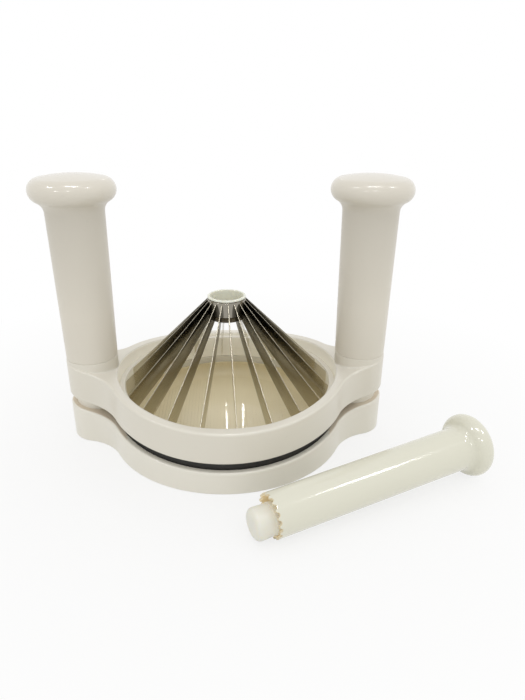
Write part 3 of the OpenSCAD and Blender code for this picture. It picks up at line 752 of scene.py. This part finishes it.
# Handles
# Two tall hollow handles of the white plastic, satin on their shafts and polished on their rounded knobs.
# Each is pushed over a spigot on its boss and pinned by a screw from behind.
knob_r = (handle_high.x - handle_low.x) / 2
knob_edge_r, neck_fillet_r, knob_crown = 7.0, 7.0, 1.8
seam_step, handle_flare, handle_wall, bore_ease = 0.05, 1.05, 3.15, 0.4
knob_solid, cavity_ease, pin_up, pin_r = 19.6, 2.0, 5.0, 2.33
handle_foot_r = boss_r - seam_step
handle_bore_r = handle_foot_r - handle_wall
cavity_top, pin_z = handle_high.z - knob_solid, seam_z + pin_up
SHAFT_STEPS = 8


def knob_curve(neck_r, fillet_r, edge_r, widest_r, crown, top_z):
    """A knob's section from its hollow neck to the middle of its low crown."""
    edge = Vector((widest_r - edge_r, top_z - crown - edge_r))
    neck_x = neck_r + fillet_r
    neck = Vector((neck_x, edge.y - sqrt((fillet_r + edge_r) ** 2 - (neck_x - edge.x) ** 2)))
    meet = atan2(edge.y - neck.y, edge.x - neck.x)
    crown_r = (edge.x ** 2 + (crown + edge_r) ** 2 - edge_r ** 2) / (2 * crown)
    crown_from = atan2(edge.y - top_z + crown_r, edge.x)
    curve = arc(neck, fillet_r, pi, meet, 12)
    curve += arc(edge, edge_r, meet - pi, crown_from, 24)[1:]
    return curve + arc((0, top_z - crown_r), crown_r, crown_from, pi / 2, 12)[1:]


neck_r = handle_foot_r + handle_flare
knob = knob_curve(neck_r, neck_fillet_r, knob_edge_r, knob_r, knob_crown, handle_high.z)
shaft_h = knob[0][1] - seam_z
handle_section = [(0, cavity_top), (handle_bore_r - cavity_ease, cavity_top)]
handle_section += [(handle_bore_r, cavity_top - cavity_ease), (handle_bore_r, seam_z + bore_ease)]
handle_section += [(handle_bore_r + bore_ease, seam_z)]
for inward, up in reversed(rounding(seam_round, EDGE_STEPS)):
    handle_section.append((handle_foot_r - inward, seam_z + seam_round - up))
for i in range(1, SHAFT_STEPS):
    flare, up = handle_flare * i / SHAFT_STEPS, shaft_h * i / SHAFT_STEPS
    handle_section.append((handle_foot_r + flare, seam_z + up))
handle_section += knob


def handle_finish():
    """The shell's plastic, darker under the knob as painted shade, and polished on the knob alone."""
    finish = plastic_finish("handle_white", srgb(219, 213, 200))
    tree, shader = finish.node_tree, shader_of(finish)
    set_inputs(shader, {"Specular IOR Level": 0.25})
    height = place_of(tree)["Z"]
    shaft_z, neck_z, knob_z = (0.085, 0.143), (0.144, 0.159), (0.150, 0.157)
    tree.links.new(add_range(tree, height, knob_z, (0.0, 0.5)), shader.inputs["Coat Weight"])
    # Painted shade: the shaft darkens towards the knob's underside.
    knob_shade = add_math(tree, "MULTIPLY", add_range(tree, height, shaft_z, (0.0, 0.17)),
                    add_range(tree, height, neck_z, (1.0, 0.0)))
    shade_colour(finish, add_math(tree, "SUBTRACT", 1.03, knob_shade))
    return finish


handle_white = handle_finish()
for (x, y), end in zip(post_at, ("left", "right")):
    shaft = make_mesh(lathe(handle_section, (x, y)))
    pin_hole = rod((x, handle_foot_r - 2.0, pin_z), (x, boss_r + 4, pin_z), pin_r, 32)
    make_piece("handle_" + end + "_shell", drilled(shaft, [pin_hole]), handle_white, "head",
               ["handle_" + end])
dress_nodes(screw_steel, "handle_screws")


# Blade ring
# A white plastic ring that holds the blades' feet in slots. It drops into the frame's hole, leaves a
# narrow ledge round the top, and is screwed to the flange from below.
blade_ring_r = ring_high.x
blade_ring_w, ring_outer_round, ring_inner_round = 3.7, 0.4, 0.7
blade_ring_in = blade_ring_r - blade_ring_w
ring_section = [(blade_ring_in, ring_low.z), (blade_ring_r, ring_low.z)]
ring_section += outer_edge(blade_ring_r, ring_high.z, ring_outer_round)
ring_section += inner_edge(blade_ring_in, ring_high.z, ring_inner_round, 4)
blade_ring_mesh = make_mesh(lathe(ring_section, steps=WIDE_STEPS, closed=True))
# Painted light: the blade ring's inner faces take the lighter, glowing white.
lay_finishes(blade_ring_mesh, (shell_white, inner_white_painted_light), inside(blade_ring_r))
make_piece("blade_ring_moulding", blade_ring_mesh, shell_white, "head", ["blade_ring"])
dress_nodes(screw_steel, "ring_screws")


# Blades
# Twenty thin strips of bright stainless steel, slanting from the ring up to the hub. Each is ground to an
# edge along its lower side and slotted into the ring and the hub sleeve. Their colour darkens towards the
# hub, where they stand close, and their tops and corners are darker, all as painted shade.
blade_count, blade_phase = 20, 4.0
blade_t, edge_t, bevel_w, back_ease = 0.6, 0.1, 2.5, 0.17
hub_low, hub_high = in_mm("hub_sleeve")
hub_r = hub_high.x
blade_slope = atan2(hub_low.z - ring_low.z, blade_ring_in - hub_r)


def blade_shape():
    """A blade in the XZ plane, its hub end at small x, with its ground edge and tabs."""
    foot_r, neck_r, hub_tab_r = blade_ring_in - 0.3, hub_r + 0.3, hub_r - 1.0
    foot_low, foot_high = ring_high.z - 15.4, ring_high.z - 0.6
    neck_low, neck_high = hub_low.z + 0.2, hub_high.z - 1.1
    tab_r, tab_low, tab_high = blade_ring_r - 1.3, ring_low.z + 0.3, ring_high.z - 1.5
    ground = bevel_w * hypot(neck_r - foot_r, neck_low - foot_low) / (foot_r - neck_r)
    face = [(hub_tab_r, neck_low), (neck_r, neck_low), (neck_r, neck_low + ground)]
    face += [(foot_r, foot_low + ground), (foot_r, tab_low), (tab_r, tab_low), (tab_r, tab_high)]
    face += [(foot_r, tab_high), (foot_r, foot_high), (neck_r, neck_high), (hub_tab_r, neck_high)]
    edge = [(neck_r, neck_low), (foot_r, foot_low)]
    points, faces = [], []
    for half in (-0.5, 0.5):
        points += [(r, half * blade_t, z) for r, z in face]
        points += [(r, half * edge_t, z) for r, z in edge]
    count, heel, toe = len(face) + 2, len(face), len(face) + 1
    for start in (0, count):
        faces.append(tuple(start + i for i in range(len(face))))
        faces.append((start + heel, start + toe, start + 3, start + 2))
        faces.append((start + 1, start + heel, start + 2))
    rim = [0, 1, heel, toe] + list(range(3, len(face)))
    for a, b in zip(rim, rim[1:] + rim[:1]):
        faces.append((a, b, b + count, a + count))
    return points, faces


def ease_back(mesh):
    """Breaks the corners along a blade's back; the back gets finish 1, they get 2."""
    bm = bmesh.new()
    bm.from_mesh(mesh)
    corners = [e for e in bm.edges if e.calc_length() > 20 * MM and e.calc_face_angle(0) > radians(60)]
    corners = [e for e in corners if min(abs(v.co.y) for v in e.verts) > 0.4 * blade_t * MM]
    bmesh.ops.bevel(bm, geom=corners, offset=back_ease * MM, segments=2, profile=0.5, affect="EDGES")
    for face in bm.faces:
        if face.normal.z > 0.2 and abs(face.normal.y) < 0.9:
            face.material_index = 1 if abs(face.normal.y) < 0.2 else 2
    bm.to_mesh(mesh)
    bm.free()
    settle_mesh(mesh)


blade_steel = steel_finish("blade_steel", srgb(217, 211, 194), gloss=0.14, lines=0.1, turn=-blade_slope)
# Painted shade: darker copies of the steel on the blades' tops and broken corners.
blade_back = steel_finish("blade_back", srgb(196, 190, 174), gloss=0.55, lines=0.1, turn=-blade_slope)
blade_corner = steel_finish("blade_corner", srgb(128, 122, 108), gloss=0.6, lines=0.1, turn=-blade_slope)
along_blade = place_of(blade_steel.node_tree)["X"]
# Painted shade: the steel darkens towards the hub.
shade_colour(blade_steel, add_range(blade_steel.node_tree, along_blade, (0.018, 0.066), (0.20, 1.0)))
blade_mesh = make_mesh(blade_shape())
ease_back(blade_mesh)
for finish in (blade_steel, blade_back, blade_corner):
    blade_mesh.materials.append(finish)
for i in range(blade_count):
    turn = Matrix.Rotation(radians(blade_phase - 90 + 360 * i / blade_count), 4, "Z")
    make_piece("blade_strip_%02d" % (i + 1), blade_mesh, blade_steel, "head",
               ["blade_%02d" % (i + 1)], turn)


# Hub sleeve
# A short tube of stainless steel, slotted for the blades' upper ends, which joins them at the top. Its
# edges are broken, and the collar liner hides its bore.
hub_wall, bore_break, foot_break, top_break = 1.1, 0.2, 0.3, 0.25
hub_bore_r = hub_r - hub_wall
sleeve_section = [(hub_bore_r, hub_low.z + bore_break), (hub_bore_r + bore_break, hub_low.z)]
sleeve_section += [(hub_r - foot_break, hub_low.z), (hub_r, hub_low.z + foot_break)]
sleeve_section += outer_edge(hub_r, hub_high.z, top_break)
sleeve_section += [(hub_bore_r + bore_break, hub_high.z), (hub_bore_r, hub_high.z - bore_break)]
sleeve_steel = steel_finish("sleeve_steel", srgb(148, 143, 132), gloss=0.06, lines=0.06)
sleeve_mesh = make_mesh(lathe(sleeve_section, closed=True))
make_piece("hub_tube", sleeve_mesh, sleeve_steel, "head", ["hub_sleeve"])


# Collar liner
# A white plastic bush snapped into the hub sleeve: its lip covers the steel's upper edge and a barb grips
# below, with a short skirt under it. Barb and skirt are dark brown.
liner_low, liner_high = in_mm("collar_liner")
liner_play, liner_wall, lip_gap, skirt_h = 0.05, 0.5, 0.45, 2.0
mouth_round, collar_round, barb_out, skirt_ease = 0.55, 0.6, 0.65, 0.3
liner_r = hub_bore_r - liner_play
liner_bore_r = liner_r - liner_wall
lip_r, lip_z = liner_high.x, hub_high.z + lip_gap
skirt_z = liner_low.z - skirt_h
mouth_z, collar_z = liner_high.z - mouth_round, liner_high.z - collar_round
liner_section = [(liner_bore_r, skirt_z + skirt_ease), (liner_bore_r, mouth_z)]
liner_section += arc((liner_bore_r + mouth_round, mouth_z), mouth_round, pi, pi / 2, 4)[1:]
liner_section += arc((lip_r - collar_round, collar_z), collar_round, pi / 2, 0, 5)
liner_section += [(lip_r, lip_z + 0.1), (lip_r - 0.1, lip_z), (liner_r, lip_z), (liner_r, hub_low.z)]
liner_section += [(liner_r + barb_out, hub_low.z - 0.3), (liner_r + 0.1, liner_low.z)]
liner_section += [(liner_r, liner_low.z - 0.2), (liner_r, skirt_z), (liner_bore_r + skirt_ease, skirt_z)]
liner_white = plastic_finish(
    "liner_white", srgb(234, 234, 220), gloss=0.22, smear=0.08, cloud=0.05, peel=0.03, under=0.1)
barb_brown = plastic_finish("barb_brown", srgb(88, 78, 58), gloss=0.4, smear=0.1, cloud=0.2, peel=0.05)
liner_mesh = make_mesh(lathe(liner_section, closed=True))
lay_finishes(liner_mesh, (liner_white, barb_brown), lambda face: int(face.center.z < hub_low.z * MM))
make_piece("liner_bush", liner_mesh, liner_white, "head", ["collar_liner"])


# Corer tube
# The corer lies loose in front, on its mouth and its knob: a tube moulded in glossy ivory plastic, its
# mouth cut into rounded notches that leave pointed teeth. Its bore is painted warm tan with a faint glow,
# as painted light for light coming through its thin wall.
corer_r, corer_wall, corer_flare = 12.0, 1.4, 0.5
cap_at, cap_edge_r, cap_edge_x, cap_crown, cap_fillet_r = 130.0, 6.0, 12.5, 2.1, 5.0
notch_count, notch_r, teeth_end = 18, 1.4, 4.0
cut_face_deep, bore_skin = 2.5, 0.25
bore_r = corer_r - corer_wall
mouth_x, mouth_ahead, floor_play, corer_turn = 19.6, 33.8, 0.3, radians(22.3)
cap_step = cap_edge_x - corer_r
corer_tilt = asin(cap_edge_r / hypot(cap_at, cap_step)) + atan2(cap_step, cap_at)
corer_mouth = Vector((mouth_x, -ring_r - mouth_ahead, corer_r * cos(corer_tilt) + floor_play))
corer_place = Matrix.Translation(corer_mouth * MM) @ Matrix.Rotation(corer_turn, 4, "Z")
corer_place = corer_place @ Matrix.Rotation(pi / 2 - corer_tilt, 4, "Y")
cap_r, cap_top = cap_edge_x + cap_edge_r, cap_at + cap_edge_r + cap_crown
cap_curve = knob_curve(corer_r + corer_flare, cap_fillet_r, cap_edge_r, cap_r, cap_crown, cap_top)
neck_at = cap_curve[0][1]
TOOTH_STEPS = 22


def mouth_loop(radius, back):
    """A ring of points along the toothed mouth, set back from its edge."""
    points = []
    for i in range(notch_count * TOOTH_STEPS):
        a = 2 * pi * i / (notch_count * TOOTH_STEPS)
        off = (a * notch_count / (2 * pi)) % 1 - 0.5
        across = radius * sin(off * 2 * pi / notch_count)
        depth = sqrt(max(0.0, notch_r ** 2 - across ** 2))
        points.append((radius * cos(a), radius * sin(a), depth + back))
    return points


def ring_loop(radius, along):
    """A plain ring of as many points."""
    return on_height(circle((0, 0), radius, notch_count * TOOTH_STEPS), along)


mouth_edge = ((0.0, 0.3), (0.1, 0.08), (0.35, 0.0))
tube_loops = [ring_loop(bore_r, neck_at), ring_loop(bore_r, teeth_end)]
tube_loops += [mouth_loop(bore_r + out, back) for out, back in mouth_edge]
tube_loops += [mouth_loop(corer_r - out, back) for out, back in reversed(mouth_edge)]
tube_loops += [mouth_loop(corer_r, 0.7)]
tube_loops += [ring_loop(corer_r + corer_flare * t / neck_at, t) for t in (teeth_end, neck_at)]


def tube_part(face):
    """0 for the tube's outside, 1 for its bore, 2 for the cut faces of its mouth."""
    if off_axis(face) < bore_r + bore_skin:
        return 1
    return 2 if face.center.z < cut_face_deep * MM and off_axis(face) < corer_r - 0.01 else 0


ivory_gloss = plastic_finish(
    "ivory_gloss", srgb(225, 223, 206), gloss=0.15, smear=0.03, peel=0.015, coat=0.25)
# Painted light: the bore's warm tan and its glow stand in for light through the thin wall.
ivory_bore_painted_glow = plastic_finish("ivory_bore_painted_glow", srgb(226, 210, 176), gloss=0.4, cloud=0.05, peel=0.03)
ivory_cut = plastic_finish("ivory_cut", srgb(220, 208, 178), gloss=0.6, cloud=0.05, peel=0.03)
add_painted_glow(ivory_bore_painted_glow, srgb(226, 205, 160), 0.22)
barrel_mesh = make_mesh(loft(tube_loops, ring=True))
lay_finishes(barrel_mesh, (ivory_gloss, ivory_bore_painted_glow, ivory_cut), tube_part)
barrel_mesh.transform(corer_place)
make_piece("corer_barrel", barrel_mesh, ivory_gloss, "corer", ["corer_tube"])


# Corer knob
# A mushroom knob of the same ivory plastic on the tube's end, with a soft hollow where the two run
# together, a round edge and a low crown. The palm pushes on it.
cap_profile = [(corer_r - 0.5, neck_at)] + cap_curve
cap_mesh = make_mesh(lathe(cap_profile), corer_place)
make_piece("corer_cap", cap_mesh, ivory_gloss, "corer", ["corer_knob"])
dress_nodes(ivory_gloss, "guide_web")


# Plunger
# The sprung nose that pushes the core out of the tube: whiter, matt, slightly see-through plastic with a
# rounded end and a flange that slides in the bore. Its rod, washer and screw are out of sight inside.
nose_r, nose_len, nose_round, nose_crown = 8.65, 10.3, 3.0, 0.1
plunger_r, plunger_flange_t, flange_break = 8.7, 4.0, 0.4
rod_r, rod_end, rod_fillet = 2.5, 65.3, 0.6
plunger_drop = 1.8
plunger_place = corer_place @ Matrix.Translation((plunger_drop * MM, 0, 0))
flange_back = plunger_flange_t + flange_break
NOSE_STEPS = 8
plunger_section = [(0, -nose_len)]
for i in range(NOSE_STEPS + 1):
    turn = pi / 2 * i / NOSE_STEPS
    back = nose_crown + nose_round * (1 - cos(turn))
    plunger_section.append((nose_r - nose_round * (1 - sin(turn)), -nose_len + back))
plunger_section += arc((plunger_r, 0.2), 0.3, pi, pi / 2, 4)
plunger_section += [(plunger_r, plunger_flange_t), (plunger_r - flange_break, flange_back)]
plunger_section += [(rod_r + rod_fillet, flange_back), (rod_r, flange_back + rod_fillet)]
plunger_section += [(rod_r, rod_end - flange_break), (rod_r - flange_break, rod_end), (0, rod_end)]
nose_white = plastic_finish(
    "nose_white", srgb(230, 228, 216), gloss=0.42, smear=0.10, cloud=0.09, peel=0.06, under=0.35)
nose_mesh = make_mesh(lathe(plunger_section), plunger_place)
make_piece("plunger_nose", nose_mesh, nose_white, "plunger", ["plunger"])
dress_nodes(screw_steel, "plunger_washer", "plunger_screw")


# Return spring
# A coil of drawn steel wire on the plunger's rod, between the flange and the guide web, which pushes the
# plunger out again after it is pushed in. It is built as one fixed coil.
spring_r, wire_r, spring_turns = 5.2, 0.5, 9
spring_from, spring_to = 5.15, 61.35
TURN_STEPS, WIRE_STEPS = 28, 10
spring_loops = []
for i in range(spring_turns * TURN_STEPS + 1):
    turn = 2 * pi * i / TURN_STEPS
    along = spring_from + (spring_to - spring_from) * i / (spring_turns * TURN_STEPS)
    wire = circle((spring_r, along), wire_r, WIRE_STEPS)
    spring_loops.append([(r * cos(turn), r * sin(turn), z) for r, z in wire])
spring_steel = steel_finish("spring_steel", srgb(190, 190, 192), gloss=0.2, lines=0.1)
spring_mesh = make_mesh(loft(spring_loops, caps=True), plunger_place)
spring = make_piece(
    "return_spring", spring_mesh, spring_steel, "corer", ["plunger_spring"])
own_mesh(spring)


# Floor
# A plain white table top, painted matt. Near the cutter it takes its shadow, and further out it fades
# into the white surround.
floor_half = 3.0
fade_from, fade_to, glow_near = 0.10, 0.30, 0.72


def rays_that_show(tree):
    """1 for rays from the camera, off gloss and through clear faces, otherwise 0."""
    path = tree.nodes.new("ShaderNodeLightPath").outputs
    seen = add_math(tree, "MAXIMUM", path["Is Camera Ray"], path["Is Glossy Ray"])
    return add_math(tree, "MAXIMUM", seen, path["Is Transmission Ray"])


def floor_finish():
    """Matt white that turns into plain white light with distance."""
    finish = bpy.data.materials.new("floor_white")
    finish.use_nodes = True
    tree, shader = finish.node_tree, shader_of(finish)
    set_inputs(shader, {"Base Color": srgb(237, 237, 235), "Roughness": 0.9, "Specular IOR Level": 0.1})
    reach = tree.nodes.new("ShaderNodeVectorMath")
    reach.operation = "LENGTH"
    tree.links.new(tree.nodes.new("ShaderNodeTexCoord").outputs["Object"], reach.inputs[0])
    far = add_range(tree, reach.outputs["Value"], (fade_from, fade_to), (glow_near, 1.0))
    glow = tree.nodes.new("ShaderNodeEmission")
    mix = tree.nodes.new("ShaderNodeMixShader")
    tree.links.new(add_math(tree, "MULTIPLY", far, rays_that_show(tree)), mix.inputs["Fac"])
    tree.links.new(shader.outputs["BSDF"], mix.inputs[1])
    tree.links.new(glow.outputs["Emission"], mix.inputs[2])
    tree.links.new(mix.outputs["Shader"], tree.nodes["Material Output"].inputs["Surface"])
    return finish


floor_mesh = bpy.data.meshes.new("floor")
floor_corners = [(x * floor_half, y * floor_half, 0) for x, y in ((-1, -1), (1, -1), (1, 1), (-1, 1))]
floor_mesh.from_pydata(floor_corners, [], [(0, 1, 2, 3)])
floor_mesh.materials.append(floor_finish())
floor = bpy.data.objects.new("floor", floor_mesh)
scene.collection.objects.link(floor)


# Light and surround
# A white surround, brighter overhead, gives the soft light. Long lamps under a ceiling show as bright
# spots on the knobs and as the streak along the corer, and two narrow ones at the back in the seat.
ceiling_z, row_y, far_y = 1.6, -0.46, -2.25
ceiling_watts, back_watts = 120, 90
row_w, far_size, back_size = 0.14, (0.45, 0.2), (0.009, 0.14)
back_y, back_z, back_lean = 2.18, 1.23, radians(-60)


def add_lamp(name, place, size, watts, lean=0.0):
    """A lamp of so many watts a square metre, which only gloss shows."""
    lamp = bpy.data.lights.new(name, "AREA")
    lamp.shape = "RECTANGLE"
    lamp.size, lamp.size_y = size
    lamp.energy = watts * size[0] * size[1]
    holder = bpy.data.objects.new(name, lamp)
    holder.visible_diffuse = False
    scene.collection.objects.link(holder)
    holder.location = place
    holder.rotation_euler = (lean, 0, 0)


for name, x, length in (("left", -1.25, 0.45), ("middle", 0.05, 0.6), ("right", 1.13, 0.36)):
    add_lamp("ceiling_lamp_" + name, (x, row_y, ceiling_z), (length, row_w), ceiling_watts)
for name, x in (("left", -1.45), ("middle", -0.1)):
    add_lamp("far_lamp_" + name, (x, far_y, ceiling_z), far_size, ceiling_watts)
for name, x in (("left", -0.012), ("right", 0.071)):
    add_lamp("back_lamp_" + name, (x, back_y, back_z), back_size, back_watts, back_lean)

world = bpy.data.worlds.new("white_surround")
scene.world = world
world.use_nodes = True
sky = world.node_tree
towards = place_of(sky, "Generated")
soft_light = add_range(sky, towards["Z"], (0.0, 1.0), (0.81, 1.13))
for axis, shares in (("Y", (1.06, 0.94)), ("X", (0.93, 1.04))):
    share = add_range(sky, towards[axis], (-1.0, 1.0), shares)
    soft_light = add_math(sky, "MULTIPLY", soft_light, share)
shown = rays_that_show(sky)
soft_light = add_math(sky, "MULTIPLY", soft_light, add_math(sky, "SUBTRACT", 1.0, shown))
backdrop = sky.nodes["Background"]
backdrop.inputs["Color"].default_value = (1, 1, 1, 1)
sky.links.new(add_math(sky, "MAXIMUM", soft_light, shown), backdrop.inputs["Strength"])


# Camera
# It stands in front, a little above, and looks down across the cutter. Its place and lens were fitted to
# the rims, the handles and the corer.
pitch, roll, heading = radians(23.822), radians(0.547), radians(3.765)
eye_at = Vector((0.328, -338.201, 204.839))
sensor_w, focal_px, picture_h = 36.0, 571.385, 700
ahead = Vector((sin(heading) * cos(pitch), cos(heading) * cos(pitch), -sin(pitch)))
level = Vector((cos(heading), -sin(heading), 0))
right = cos(roll) * level + sin(roll) * level.cross(ahead)
camera = bpy.data.cameras.new("camera")
camera.sensor_width = sensor_w
camera.lens = sensor_w * focal_px / picture_h
viewer = bpy.data.objects.new("camera", camera)
viewer.matrix_world = Matrix((right, right.cross(ahead), -ahead)).transposed().to_4x4()
viewer.location = eye_at * MM
scene.collection.objects.link(viewer)
bpy.context.scene.camera = viewer
bpy.context.scene.view_settings.view_transform = "Standard"


# Update
# The view layer is brought up to date.
bpy.context.view_layer.update()
